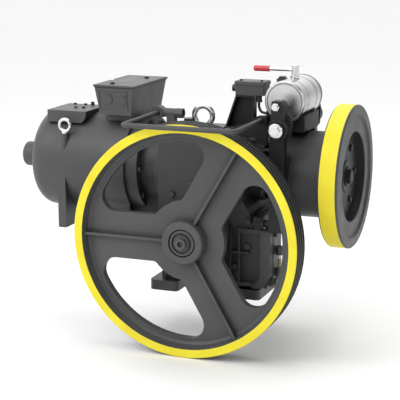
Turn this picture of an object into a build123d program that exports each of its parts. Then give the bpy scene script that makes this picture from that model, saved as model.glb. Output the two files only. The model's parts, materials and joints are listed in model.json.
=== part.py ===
from build123d import *

import os
from math import cos, pi, radians, sin, tan

# Geared lift traction machine: worm gearbox, overhung rope sheave, motor, brake and flywheel.
# The frame is in millimetres, +Z up. The origin is the centre of the four foot bolts, on the
# underside of the gearbox feet. +X runs along the worm shaft from the motor to the flywheel,
# and the rope sheave hangs out on the -Y side.

os.makedirs("parts", exist_ok=True)

# ---------------------------------------------------------------- driving dimensions
SHEAVE_Z = 175.0
CENTRE_DISTANCE = 146.0
WORM_Z = SHEAVE_Z + CENTRE_DISTANCE

# worm gear: one thread start, so one turn of the worm moves the wheel by one tooth
MODULE = 5.0
WHEEL_TEETH = 45
LEAD = pi * MODULE
WHEEL_PITCH_R = MODULE * WHEEL_TEETH / 2
WORM_PITCH_R = CENTRE_DISTANCE - WHEEL_PITCH_R
FLANK_SLOPE = tan(radians(20))
THREAD_TURNS = 7
WHEEL_HALF_WIDTH = 18.0

# rope sheave
SHEAVE_R = 300.0
SHEAVE_FRONT_Y = -270.0
SHEAVE_BACK_Y = -203.0
SHEAVE_FACE_R = 278.0
WEB_FRONT_Y = -244.0
WEB_BACK_Y = -224.0
END_PLATE_R = 33.0
SHEAVE_HUB_R = 55.0
SPOKE_HALF_WIDTH = 61.0
WINDOW_OUTER_R = 255.0
WINDOW_INNER_R = 103.0
SPOKE_ANGLES = (60, 180, 300)
ROPE_GROOVES = 4
ROPE_R = 6.5
SHAFT_R = 30.0

# gearbox
FOOT_HEIGHT = 27.0
FOOT_OUT_X = 154.0
FOOT_IN_X = 74.0
FOOT_HALF_Y = 120.0
FOOT_BOLT_X = 108.0
FOOT_BOLT_Y = 95.0
FOOT_HOLE_R = 9.0
CASE_R = 135.0
CASE_HALF_Y = 105.0
CASE_BORE_R = 123.0
WORM_CASE_LEFT_X = -130.0
WORM_CASE_RIGHT_X = 105.0
WORM_CASE_HALF_Y = 116.0
WORM_CASE_TOP_Z = 422.0
BIG_EYE_X = -46.0
WORM_BORE_R = 45.0
SIDE_FACE_X = 175.0
SIDE_COVER_THICK = 12.0
SIDE_FRONT_Y = -105.0
SIDE_REAR_Y = -40.0
FRAME_FRONT_Y = -129.0
COVER_FACE_Y = -117.0
GAUGE_X = 198.0
GAUGE_Y = -86.0

# motor
MOTOR_R = 134.0
MOTOR_LEFT_X = -506.0
MOTOR_BODY_LEFT_X = -468.0
MOTOR_RIGHT_X = -222.0
MOTOR_BORE_R = 118.0
END_BELL_R = 126.0
END_BELL_RIGHT_X = -187.0
CAP_R = 34.0
CAP_LEFT_X = -578.0
RAIL_Z = 178.0
SMALL_EYE_X = -399.0
SMALL_EYE_Y = -116.0
LEG_X = -405.0
LEG_WIDTH = 23.0
LEG_FRONT_Y = -131.0
LEG_FOOT_Z = 150.0

# terminal box on the motor, with the cover beside it
BOX_LEFT_X = -313.0
BOX_RIGHT_X = -195.0
BOX_FRONT_Y = -118.0
BOX_REAR_Y = 110.0
BOX_LOW_Z = 461.0
BOX_LID_Z = 541.0
KNOCK_OUT_Z = 505.0
COVER_LEFT_X = -464.0
COVER_RIGHT_X = -349.0
COVER_FRONT_Y = -90.0
COVER_REAR_Y = 42.0
COVER_LOW_Z = 431.0
COVER_TOP_Z = 463.0

# rope guard
GUARD_Z = 468.0
GUARD_LEFT_X = -152.0
GUARD_RIGHT_X = 146.0
GUARD_FRONT_Y = -290.0
GUARD_BAR_R = 6.5

# brake
ARM_X = 206.0
DRUM_R = 112.0
DRUM_LEFT_X = 175.0
DRUM_RIGHT_X = 318.0
ARM_INNER_Y = 124.0
ARM_OUTER_Y = 150.0
ARM_HALF_WIDTH = 19.0
LUG_LEFT = 13.0
LUG_RIGHT = 22.0
LUG_TOP_Z = 527.0
WEB_THICK = 10.0
PIVOT_Y = 137.0
PIVOT_Z = 212.0
PIVOT_R = 9.0
ROD_X = 210.0
ROD_Z = 456.0
MAGNET_X = 204.0
MAGNET_Z = 517.0
MAGNET_R = 52.0
MAGNET_HALF_Y = 83.0
LEVER_Z = 589.0
LEVER_TOP_Z = 602.0
LEVER_REACH = 102.0
LEVER_POST_R = 10.0
LEAD_R = 3.5
LEAD_Y = -16.0

# flywheel
FLYWHEEL_R = 185.0
FLYWHEEL_LEFT_X = 322.0
FLYWHEEL_RIGHT_X = 372.0
RIM_STEP_R = 156.0
RECESS_R = 116.0
RECESS_X = 346.0

RUNNING_GAP = 0.05


def save(part, name):
    """Label a finished piece and write it to its own file."""
    part.label = name
    export_step(part, f"parts/{name}.step")


def across_x(x, y=0.0, z=WORM_Z):
    """A plane square to the worm shaft: normal +X, sketch X to the rear, sketch Y up."""
    return Plane(origin=(x, y, z), x_dir=(0, 1, 0), z_dir=(1, 0, 0))


def across_y(y, x=0.0, z=SHEAVE_Z):
    """A plane square to the sheave shaft: normal +Y, sketch X to the left, sketch Y up."""
    return Plane(origin=(x, y, z), x_dir=(-1, 0, 0), z_dir=(0, 1, 0))


def front(y):
    """The front view at depth y: sketch X is X, sketch Y is Z, normal -Y."""
    return Plane(origin=(0, y, 0), x_dir=(1, 0, 0), z_dir=(0, -1, 0))


def rod_x(x0, x1, radius, y=0.0, z=WORM_Z, mode=Mode.ADD):
    """A round bar along X."""
    with BuildSketch(across_x(x0, y, z)) as profile:
        Circle(radius)
    extrude(profile.sketch, amount=x1 - x0, mode=mode)


def rod_y(y0, y1, radius, x=0.0, z=SHEAVE_Z, mode=Mode.ADD):
    """A round bar along Y."""
    with BuildSketch(across_y(y0, x, z)) as profile:
        Circle(radius)
    extrude(profile.sketch, amount=y1 - y0, mode=mode)


def rod_z(z0, z1, radius, x=0.0, y=0.0, mode=Mode.ADD):
    """A round bar along Z."""
    with BuildSketch(Plane(origin=(x, y, z0))) as profile:
        Circle(radius)
    extrude(profile.sketch, amount=z1 - z0, mode=mode)


def ring_x(x0, x1, outer, inner, y=0.0, z=WORM_Z):
    """A ring whose axis runs along X."""
    with BuildSketch(across_x(x0, y, z)) as profile:
        Circle(outer)
        Circle(inner, mode=Mode.SUBTRACT)
    extrude(profile.sketch, amount=x1 - x0)


def ring_y(y0, y1, outer, inner, x=0.0, z=SHEAVE_Z, mode=Mode.ADD):
    """A ring whose axis runs along Y."""
    with BuildSketch(across_y(y0, x, z)) as profile:
        Circle(outer)
        Circle(inner, mode=Mode.SUBTRACT)
    extrude(profile.sketch, amount=y1 - y0, mode=mode)


def block(x0, x1, y0, y1, z0, z1, mode=Mode.ADD):
    """A box between six planes."""
    with BuildSketch(Plane(origin=((x0 + x1) / 2, (y0 + y1) / 2, z0))) as profile:
        Rectangle(x1 - x0, y1 - y0)
    extrude(profile.sketch, amount=z1 - z0, mode=mode)


def hexagon_z(z0, z1, radius, x, y):
    """A hexagon head standing along Z."""
    with BuildSketch(Plane(origin=(x, y, z0))) as profile:
        RegularPolygon(radius, 6)
    extrude(profile.sketch, amount=z1 - z0)


def hexagon_x(x0, x1, radius, y, z):
    """A hexagon head lying along X."""
    with BuildSketch(across_x(x0, y, z)) as profile:
        RegularPolygon(radius, 6)
    extrude(profile.sketch, amount=x1 - x0)


def hexagon_y(y0, y1, radius, x, z):
    """A hexagon head lying along Y."""
    with BuildSketch(across_y(y0, x, z)) as profile:
        RegularPolygon(radius, 6)
    extrude(profile.sketch, amount=y1 - y0)


# ---------------------------------------------------------------- bearings and seals
# Each bearing is (low end, high end, bore radius, outer radius, number of balls).
OUTPUT_BEARINGS = ((-98, -74, 32.0, 60.0, 11), (66, 90, 32.0, 60.0, 11))
WORM_BEARINGS = ((-126, -104, 25.0, 45.0, 10), (79, 101, 25.0, 45.0, 10), (-494, -474, 22.0, 42.0, 10))
RING_SHARE = 0.27
BALL_SHARE = 0.225


def bearing_radii(bore_r, outer_r):
    """Inner ring's outside, outer ring's inside, ball circle and ball radius."""
    height = outer_r - bore_r
    inside = bore_r + height * RING_SHARE
    outside = outer_r - height * RING_SHARE
    return inside, outside, (bore_r + outer_r) / 2, height * BALL_SHARE


def make_bearings():
    with BuildPart() as outer_rings:
        for low, high, bore_r, outer_r, _ in OUTPUT_BEARINGS:
            ring_y(low, high, outer_r, bearing_radii(bore_r, outer_r)[1])
        for low, high, bore_r, outer_r, _ in WORM_BEARINGS:
            ring_x(low, high, outer_r, bearing_radii(bore_r, outer_r)[1])
    save(outer_rings.part, "bearing_outer_rings")

    with BuildPart() as output_inners:
        for low, high, bore_r, outer_r, balls in OUTPUT_BEARINGS:
            inside, _, circle_r, ball_r = bearing_radii(bore_r, outer_r)
            ring_y(low, high, inside, bore_r)
            with Locations(across_y((low + high) / 2)):
                with PolarLocations(circle_r, balls):
                    Sphere(ball_r)
    save(output_inners.part, "output_bearing_inners")

    with BuildPart() as worm_inners:
        for low, high, bore_r, outer_r, balls in WORM_BEARINGS:
            inside, _, circle_r, ball_r = bearing_radii(bore_r, outer_r)
            ring_x(low, high, inside, bore_r)
            with Locations(across_x((low + high) / 2)):
                with PolarLocations(circle_r, balls):
                    Sphere(ball_r)
    save(worm_inners.part, "worm_bearing_inners")

    with BuildPart() as seals:
        ring_y(-148, -138, 48, SHAFT_R + 2 + RUNNING_GAP)
        ring_x(136, 145, 36, 22 + RUNNING_GAP)
        ring_x(-142, -132, 40, 25 + RUNNING_GAP)
    save(seals.part, "shaft_seals")


# ---------------------------------------------------------------- sheave and wheel
def make_sheave():
    with BuildPart() as sheave:
        # rim, web and hub, turned: sketch X is the radius and sketch Y is the depth
        with BuildSketch(Plane(origin=(0, 0, SHEAVE_Z))):
            with BuildLine():
                Polyline(
                    (SHAFT_R, SHEAVE_FRONT_Y + 7),
                    (END_PLATE_R + 1.5, SHEAVE_FRONT_Y + 7),
                    (END_PLATE_R + 3, SHEAVE_FRONT_Y - 4),
                    (SHEAVE_HUB_R - 3, SHEAVE_FRONT_Y - 4),
                    (SHEAVE_HUB_R, SHEAVE_FRONT_Y - 1),
                    (SHEAVE_HUB_R + 3, WEB_FRONT_Y),
                    (SHEAVE_FACE_R - 14, WEB_FRONT_Y),
                    (SHEAVE_FACE_R - 7, WEB_FRONT_Y - 5),
                    (SHEAVE_FACE_R, SHEAVE_FRONT_Y),
                    (SHEAVE_R - 1.5, SHEAVE_FRONT_Y),
                    (SHEAVE_R, SHEAVE_FRONT_Y + 1.5),
                    (SHEAVE_R, SHEAVE_BACK_Y - 1.5),
                    (SHEAVE_R - 1.5, SHEAVE_BACK_Y),
                    (SHEAVE_FACE_R, SHEAVE_BACK_Y),
                    (SHEAVE_FACE_R - 8, WEB_BACK_Y),
                    (SHEAVE_HUB_R + 4, WEB_BACK_Y),
                    (SHEAVE_HUB_R, -172),
                    (SHAFT_R, -172),
                    close=True,
                )
            make_face()
        revolve(axis=Axis((0, 0, SHEAVE_Z), (0, 1, 0)))
        # three windows, each between two parallel-sided spokes
        with BuildSketch(front(SHEAVE_BACK_Y)) as windows:
            with Locations((0, SHEAVE_Z)):
                Circle(WINDOW_OUTER_R)
                Circle(WINDOW_INNER_R, mode=Mode.SUBTRACT)
            for angle in SPOKE_ANGLES:
                spoke_x = 150 * cos(radians(angle))
                spoke_z = SHEAVE_Z + 150 * sin(radians(angle))
                with Locations((spoke_x, spoke_z)):
                    Rectangle(300, 2 * SPOKE_HALF_WIDTH, rotation=angle, mode=Mode.SUBTRACT)
            centre = Vector(0, SHEAVE_Z, 0)
            corners = windows.vertices()
            fillet([v for v in corners if (Vector(v) - centre).length > 200], 38)
            corners = windows.vertices()
            fillet([v for v in corners if (Vector(v) - centre).length < 120], 16)
        extrude(amount=80, mode=Mode.SUBTRACT)
        # a thin rib stands on the front of every spoke
        for angle in SPOKE_ANGLES:
            rib_length = SHEAVE_FACE_R - 4 - SHEAVE_HUB_R
            rib_r = SHEAVE_HUB_R + rib_length / 2
            rib_at = (rib_r * cos(radians(angle)), SHEAVE_Z + rib_r * sin(radians(angle)))
            with BuildSketch(front(WEB_FRONT_Y + 1)):
                with Locations(rib_at):
                    Rectangle(rib_length, 7, rotation=angle)
            extrude(amount=17)
        # keyway in the hub, and the rope grooves round the rim
        block(-5, 5, -240, -180, SHEAVE_Z, SHEAVE_Z + SHAFT_R + 3.5, mode=Mode.SUBTRACT)
        groove_pitch = (SHEAVE_BACK_Y - SHEAVE_FRONT_Y) / ROPE_GROOVES
        with BuildSketch(Plane(origin=(0, 0, SHEAVE_Z))):
            for index in range(ROPE_GROOVES):
                groove_y = SHEAVE_FRONT_Y + groove_pitch * (index + 0.5)
                with Locations((SHEAVE_R - 2.5, groove_y)):
                    Circle(ROPE_R)
        revolve(axis=Axis((0, 0, SHEAVE_Z), (0, 1, 0)), mode=Mode.SUBTRACT)
    save(sheave.part, "traction_sheave")

    with BuildPart() as end_plate:
        ring_y(SHEAVE_FRONT_Y - 3, SHEAVE_FRONT_Y + 7, END_PLATE_R, 11)
        ring_y(SHEAVE_FRONT_Y - 4, SHEAVE_FRONT_Y + 2, END_PLATE_R - 6, 21, mode=Mode.SUBTRACT)
        chamfer(end_plate.edges().filter_by(GeomType.CIRCLE).sort_by(Axis.Y)[0], 1.2)
    save(end_plate.part, "sheave_end_plate")

    with BuildPart() as end_bolt:
        # washer, round head with a hexagon socket, and the shank
        rod_y(SHEAVE_FRONT_Y - 5, SHEAVE_FRONT_Y - 3, 19)
        rod_y(SHEAVE_FRONT_Y - 14, SHEAVE_FRONT_Y - 5, 14)
        rod_y(SHEAVE_FRONT_Y - 5, SHEAVE_FRONT_Y + 45, 9.9)
        with BuildSketch(across_y(SHEAVE_FRONT_Y - 14)) as socket:
            RegularPolygon(8, 6)
        extrude(socket.sketch, amount=6, mode=Mode.SUBTRACT)
    save(end_bolt.part, "sheave_end_bolt")

    with BuildPart() as key:
        block(-4.9, 4.9, -238, -182, SHEAVE_Z + SHAFT_R - 5.5, SHEAVE_Z + SHAFT_R + 3.3)
    save(key.part, "sheave_key")

    with BuildPart() as shaft:
        rod_y(SHEAVE_FRONT_Y + 9, -168, SHAFT_R)
        rod_y(-168, 92, 32)
        rod_y(-66, 60, 35)
        rod_y(SHEAVE_FRONT_Y + 9, SHEAVE_FRONT_Y + 48, 10, mode=Mode.SUBTRACT)
        block(-5, 5, -240, -180, SHEAVE_Z + SHAFT_R - 6, SHEAVE_Z + SHAFT_R + 3, mode=Mode.SUBTRACT)
    save(shaft.part, "output_shaft")


def make_worm_wheel():
    tip_r = WHEEL_PITCH_R + 4
    root_r = WHEEL_PITCH_R - 6.5
    gap_at_pitch = LEAD / 2 + 0.85 / 2
    # one tooth gap, leaning with the thread, cut from a prism that runs through the rim
    lean = LEAD / (2 * pi * WORM_PITCH_R)
    with BuildPart() as gash:
        with BuildSketch(Plane(origin=(0, 0, 0), x_dir=(1, 0, 0), z_dir=(0, lean, 1))):
            with BuildLine():
                half_root = gap_at_pitch / 2 - (WHEEL_PITCH_R - root_r) * FLANK_SLOPE
                half_tip = gap_at_pitch / 2 + (tip_r + 3 - WHEEL_PITCH_R) * FLANK_SLOPE
                Polyline(
                    (root_r, -half_root),
                    (tip_r + 3, -half_tip),
                    (tip_r + 3, half_tip),
                    (root_r, half_root),
                    close=True,
                )
            make_face()
        extrude(amount=WHEEL_HALF_WIDTH + 3, both=True)
    pitch_angle = 360 / WHEEL_TEETH
    with BuildPart() as rim:
        ring_y(-WHEEL_HALF_WIDTH, WHEEL_HALF_WIDTH, tip_r, 92)
        with Locations(Plane(origin=(0, 0, SHEAVE_Z), x_dir=(1, 0, 0), z_dir=(0, -1, 0))):
            with PolarLocations(0, WHEEL_TEETH, start_angle=90 + pitch_angle / 2):
                add(gash.part, mode=Mode.SUBTRACT)
    save(rim.part, "worm_wheel_rim")

    with BuildPart() as hub:
        ring_y(-WHEEL_HALF_WIDTH + 2, WHEEL_HALF_WIDTH - 2, 92, 76)
        ring_y(-7, 7, 77, 50)
        ring_y(-34, 34, 54, 35)
        with Locations(across_y(-7)):
            with PolarLocations(65, 6):
                Hole(8, depth=14)
    save(hub.part, "worm_wheel_hub")


# ---------------------------------------------------------------- worm line
def make_worm_line():
    with BuildPart() as worm:
        rod_x(-545, -494, 12)
        rod_x(-494, -474, 22)
        rod_x(-474, -240, 28)
        rod_x(-240, -126, 25)
        rod_x(-126, -104, 25)
        rod_x(-104, -60, 30)
        rod_x(-60, 66, WORM_PITCH_R - 6)
        rod_x(66, 79, 30)
        rod_x(79, 101, 25)
        rod_x(101, 345, 22)
        rod_x(345, 357, 15)
        # a right-handed thread that starts at the top, so its gap faces the wheel's top tooth
        thread_start = -(THREAD_TURNS // 2) * LEAD
        with BuildLine() as path:
            Helix(
                pitch=LEAD,
                height=THREAD_TURNS * LEAD,
                radius=WORM_PITCH_R,
                center=(thread_start, 0, WORM_Z),
                direction=(1, 0, 0),
            )
        start = path.line @ 0
        half_pitch = 3.3
        with BuildSketch(Plane(origin=start, x_dir=(0, 0, 1), z_dir=(0, -1, 0))):
            root_half = half_pitch + 6.6 * FLANK_SLOPE
            tip_half = half_pitch - 4.5 * FLANK_SLOPE
            with BuildLine():
                Polyline(
                    (-6.6, -root_half),
                    (4.5, -tip_half),
                    (4.5, tip_half),
                    (-6.6, root_half),
                    close=True,
                )
            make_face()
        sweep(path=path.line, is_frenet=True)
    save(worm.part, "worm_shaft")

    with BuildPart() as rotor:
        ring_x(-445, -265, 70, 28)
        ring_x(-452, -445, 66, 45)
        ring_x(-265, -258, 66, 45)
    save(rotor.part, "rotor_core")

    with BuildPart() as drum:
        ring_x(DRUM_LEFT_X, DRUM_RIGHT_X, DRUM_R, DRUM_R - 14)
        ring_x(DRUM_RIGHT_X - 16, DRUM_RIGHT_X, DRUM_R - 13, 22)
        ring_x(200, DRUM_RIGHT_X, 38, 22)
        chamfer(drum.edges().filter_by(GeomType.CIRCLE).sort_by(Axis.X)[0], 1.5)
    save(drum.part, "brake_drum")

    with BuildPart() as flywheel:
        # turned section: sketch X is the radius, sketch Y is the distance along the shaft
        with BuildSketch(Plane(origin=(0, 0, WORM_Z), x_dir=(0, 0, 1), z_dir=(0, -1, 0))):
            with BuildLine():
                Polyline(
                    (22, -FLYWHEEL_LEFT_X),
                    (FLYWHEEL_R - 3, -FLYWHEEL_LEFT_X),
                    (FLYWHEEL_R, -FLYWHEEL_LEFT_X - 3),
                    (FLYWHEEL_R, -FLYWHEEL_RIGHT_X + 3),
                    (FLYWHEEL_R - 3, -FLYWHEEL_RIGHT_X),
                    (RIM_STEP_R + 3, -FLYWHEEL_RIGHT_X),
                    (RIM_STEP_R, -FLYWHEEL_RIGHT_X + 5),
                    (RECESS_R + 2, -FLYWHEEL_RIGHT_X + 5),
                    (RECESS_R, -FLYWHEEL_RIGHT_X + 7),
                    (RECESS_R - 2, -RECESS_X),
                    (42, -RECESS_X),
                    (40, -RECESS_X - 3),
                    (22, -RECESS_X - 3),
                    close=True,
                )
            make_face()
        revolve(axis=Axis((0, 0, WORM_Z), (1, 0, 0)))
        with Locations(across_x(FLYWHEEL_LEFT_X)):
            with PolarLocations(78, 6):
                Cylinder(6, 60, mode=Mode.SUBTRACT)
    save(flywheel.part, "flywheel")

    with BuildPart() as nut:
        ring_x(RECESS_X + 3, RECESS_X + 6, 26, 15)
        hexagon_x(RECESS_X + 6, RECESS_X + 13, 20, 0, WORM_Z)
        rod_x(RECESS_X + 12, RECESS_X + 16, 16)
        rod_x(RECESS_X, RECESS_X + 11.5, 15, mode=Mode.SUBTRACT)
        with Locations(across_x(RECESS_X)):
            with PolarLocations(78, 6):
                Cylinder(9, 5, align=(Align.CENTER, Align.CENTER, Align.MIN))
    save(nut.part, "flywheel_fixings")


# ---------------------------------------------------------------- gearbox
def make_gearbox():
    with BuildPart() as housing:
        rod_y(-CASE_HALF_Y, CASE_HALF_Y, CASE_R)
        with BuildSketch(across_x(WORM_CASE_LEFT_X, 0, 0)) as worm_case:
            case_low = SHEAVE_Z + 20
            case_mid = (case_low + WORM_CASE_TOP_Z) / 2
            with Locations((0, case_mid)):
                Rectangle(2 * WORM_CASE_HALF_Y, WORM_CASE_TOP_Z - case_low)
            fillet(worm_case.vertices().group_by(Axis.Z)[-1], 20)
        extrude(amount=WORM_CASE_RIGHT_X - WORM_CASE_LEFT_X)
        rod_x(WORM_CASE_RIGHT_X - 1, 128, 78)
        # pedestals, feet and the flat side face for the inspection cover
        for side in (-1, 1):
            inner_x, outer_x = sorted((side * 82, side * 123))
            block(inner_x, outer_x, -92, 92, FOOT_HEIGHT - 1, SHEAVE_Z)
            inner_x, outer_x = sorted((side * FOOT_IN_X, side * FOOT_OUT_X))
            with BuildSketch(Plane.XY) as foot:
                with Locations(((inner_x + outer_x) / 2, 0)):
                    Rectangle(outer_x - inner_x, 2 * FOOT_HALF_Y)
                fillet(foot.vertices(), 12)
            extrude(amount=FOOT_HEIGHT)
        block(90, SIDE_FACE_X, SIDE_FRONT_Y, SIDE_REAR_Y, 34, 190)
        # ribs on the rear and the left of the case
        for rib_y in (-60, 0, 60):
            block(-140, -100, rib_y - 5, rib_y + 5, FOOT_HEIGHT - 1, 200)
        # wheel chamber, worm bore and seats
        rod_y(-WORM_CASE_HALF_Y - 1, -CASE_HALF_Y, CASE_R + 0.3, mode=Mode.SUBTRACT)
        rod_y(CASE_HALF_Y, WORM_CASE_HALF_Y + 1, 84, mode=Mode.SUBTRACT)
        rod_y(-CASE_HALF_Y, 60, CASE_BORE_R, mode=Mode.SUBTRACT)
        rod_y(60, CASE_HALF_Y, 60, mode=Mode.SUBTRACT)
        rod_x(WORM_CASE_LEFT_X, 128, WORM_BORE_R, mode=Mode.SUBTRACT)
        block(100, SIDE_FACE_X, SIDE_FRONT_Y + 17, SIDE_REAR_Y - 12, 62, 166, mode=Mode.SUBTRACT)
        with Locations((-FOOT_BOLT_X, -FOOT_BOLT_Y, 0), (FOOT_BOLT_X, -FOOT_BOLT_Y, 0)):
            Cylinder(FOOT_HOLE_R, 3 * FOOT_HEIGHT, mode=Mode.SUBTRACT)
        with Locations((-FOOT_BOLT_X, FOOT_BOLT_Y, 0), (FOOT_BOLT_X, FOOT_BOLT_Y, 0)):
            Cylinder(FOOT_HOLE_R, 3 * FOOT_HEIGHT, mode=Mode.SUBTRACT)
        rod_z(WORM_CASE_TOP_Z - 16, WORM_CASE_TOP_Z + 1, 10, BIG_EYE_X, 0, mode=Mode.SUBTRACT)
    save(housing.part, "gearbox_housing")

    with BuildPart() as front_cover:
        rod_y(-CASE_HALF_Y - 12, -CASE_HALF_Y, CASE_R)
        rod_y(-CASE_HALF_Y, -CASE_HALF_Y + 8, CASE_BORE_R - 0.2)
        rod_y(-150, -CASE_HALF_Y, 74)
        # the cover carries on over the side chamber as a sunk panel framed by ribs
        block(60, SIDE_FACE_X, COVER_FACE_Y, SIDE_FRONT_Y, 34, 190)
        block(75, 79.5, -125, COVER_FACE_Y + 1, 40, 190)
        block(98.5, 103.5, FRAME_FRONT_Y, COVER_FACE_Y + 1, 45, 190)
        block(79, 128, FRAME_FRONT_Y, COVER_FACE_Y + 1, 124, 129)
        block(80, SIDE_FACE_X - 12, -127, COVER_FACE_Y + 1, 38, 48)
        block(104, SIDE_FACE_X - 12, -127, COVER_FACE_Y + 1, 178, 190)
        with BuildSketch(front(SIDE_FRONT_Y - 0.2)) as column:
            with BuildLine():
                Polyline(
                    (158, 190),
                    (158, 66),
                    (136, 34),
                    (164, 34),
                    (186, 70),
                    (186, 184),
                    (176, 190),
                    close=True,
                )
            make_face()
        extrude(column.sketch, amount=SIDE_FRONT_Y - FRAME_FRONT_Y)
        for angle in range(-180, -30, 30):
            rib_at = (93 * cos(radians(angle)), SHEAVE_Z + 93 * sin(radians(angle)))
            with BuildSketch(front(-CASE_HALF_Y - 11)):
                with Locations(rib_at):
                    Rectangle(42, 8, rotation=angle)
            extrude(amount=16)
        rod_y(-98, -96, 60, mode=Mode.SUBTRACT)
        rod_y(-138, -98, 50, mode=Mode.SUBTRACT)
        rod_y(-148, -138, 48, mode=Mode.SUBTRACT)
        rod_y(-151, -148, 34, mode=Mode.SUBTRACT)
    save(front_cover.part, "gearbox_front_cover")

    with BuildPart() as rear_cover:
        rod_y(CASE_HALF_Y, CASE_HALF_Y + 10, 82)
        ring_y(90, CASE_HALF_Y, 59.9, 46)
        rod_y(CASE_HALF_Y + 9, CASE_HALF_Y + 14, 58)
    save(rear_cover.part, "gearbox_rear_cover")

    with BuildPart() as side_cover:
        cover_mid_y = (SIDE_FRONT_Y + SIDE_REAR_Y) / 2
        with BuildSketch(across_x(SIDE_FACE_X, cover_mid_y, 112)) as outline:
            Rectangle(SIDE_REAR_Y - SIDE_FRONT_Y - 1, 154)
            fillet(outline.vertices(), 8)
        extrude(amount=SIDE_COVER_THICK)
    save(side_cover.part, "inspection_cover")

    with BuildPart() as nose:
        ring_x(128, 136, 78, 24)
        ring_x(136, 146, 52, 36)
        ring_x(101, 128, 44.9, 36)
    save(nose.part, "worm_end_cover")

    with BuildPart() as bolts:
        for angle in range(15, 375, 30):
            bolt_x = 126 * cos(radians(angle))
            bolt_z = SHEAVE_Z + 126 * sin(radians(angle))
            hexagon_y(-CASE_HALF_Y - 19, -CASE_HALF_Y - 12, 9, bolt_x, bolt_z)
        for angle in range(0, 360, 60):
            bolt_x = 70 * cos(radians(angle))
            bolt_z = SHEAVE_Z + 70 * sin(radians(angle))
            hexagon_y(CASE_HALF_Y + 10, CASE_HALF_Y + 17, 9, bolt_x, bolt_z)
        for bolt_y in (SIDE_FRONT_Y + 13, SIDE_REAR_Y - 13):
            for bolt_z in (48, 176):
                bolt_x = SIDE_FACE_X + SIDE_COVER_THICK
                hexagon_x(bolt_x, bolt_x + 7, 9, bolt_y, bolt_z)
        for angle in range(30, 390, 60):
            bolt_y = 66 * cos(radians(angle))
            bolt_z = WORM_Z + 66 * sin(radians(angle))
            hexagon_x(136, 142, 8, bolt_y, bolt_z)
        for angle in range(-20, 240, 40):
            bolt_y = 113 * cos(radians(angle))
            bolt_z = WORM_Z + 113 * sin(radians(angle))
            hexagon_x(END_BELL_RIGHT_X, END_BELL_RIGHT_X + 7, 8, bolt_y, bolt_z)
    save(bolts.part, "housing_bolts")

    with BuildPart() as gauge:
        for fitting_z in (131, 74):
            rod_x(SIDE_FACE_X + SIDE_COVER_THICK, GAUGE_X, 7, GAUGE_Y, fitting_z)
            rod_z(fitting_z - 11, fitting_z + 11, 10, GAUGE_X, GAUGE_Y)
        rod_z(60, 140, 5, GAUGE_X, GAUGE_Y, mode=Mode.SUBTRACT)
        rod_z(WORM_CASE_TOP_Z, WORM_CASE_TOP_Z + 8, 12, -104, 48)
        rod_z(WORM_CASE_TOP_Z + 8, WORM_CASE_TOP_Z + 18, 16, -104, 48)
        hexagon_y(CASE_HALF_Y, CASE_HALF_Y + 12, 12, 0, 60)
    save(gauge.part, "oil_fittings")

    with BuildPart() as tube:
        rod_z(66, 139, 4.9, GAUGE_X, GAUGE_Y)
    save(tube.part, "oil_gauge_tube")


def eyebolt(x, y, base_z, ring_r, wire_r, shank_r):
    """A lifting eye: a shank, a collar and a ring standing on it in the XZ plane."""
    rod_z(base_z - 14, base_z, shank_r, x, y)
    rod_z(base_z, base_z + 5, shank_r + 4, x, y)
    ring_z = base_z + 2 + ring_r
    with BuildSketch(Plane(origin=(x, y, ring_z))) as wire:
        with Locations((ring_r - wire_r, 0)):
            Circle(wire_r)
    revolve(wire.sketch, axis=Axis((x, y, ring_z), (0, 1, 0)))


def make_lifting_eyes():
    with BuildPart() as big_eye:
        eyebolt(BIG_EYE_X, 0, WORM_CASE_TOP_Z, 33, 7.5, 10)
    save(big_eye.part, "gearbox_eyebolt")
    with BuildPart() as small_eye:
        eyebolt(SMALL_EYE_X, SMALL_EYE_Y, 406, 20, 4.5, 5)
    save(small_eye.part, "motor_eyebolt")


def make_rope_guard():
    with BuildPart() as bar:
        with BuildLine() as route:
            FilletPolyline(
                (GUARD_LEFT_X, -54, GUARD_Z),
                (GUARD_LEFT_X, GUARD_FRONT_Y, GUARD_Z),
                (GUARD_RIGHT_X, GUARD_FRONT_Y, GUARD_Z),
                (GUARD_RIGHT_X, -84, GUARD_Z),
                radius=16,
            )
        with BuildSketch(Plane(origin=route.line @ 0, z_dir=route.line % 0)):
            Circle(GUARD_BAR_R)
        sweep(path=route.line)
    save(bar.part, "rope_guard")

    with BuildPart() as clamp:
        # a knuckle round the end of the bar, a tapered shank and a six-sided plug
        rod_y(-66, -40, 17, GUARD_LEFT_X, GUARD_Z)
        rod_x(GUARD_LEFT_X, -100, 12, -53, GUARD_Z)
        hexagon_x(-102, -82, 14, -53, GUARD_Z)
        rod_x(-86, -80, 9, -53, GUARD_Z, mode=Mode.SUBTRACT)
        block(-126, -104, -64, -42, WORM_CASE_TOP_Z, GUARD_Z - 4)
        rod_y(-70, -53.9, GUARD_BAR_R + RUNNING_GAP, GUARD_LEFT_X, GUARD_Z, mode=Mode.SUBTRACT)
    save(clamp.part, "guard_clamp")


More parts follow.
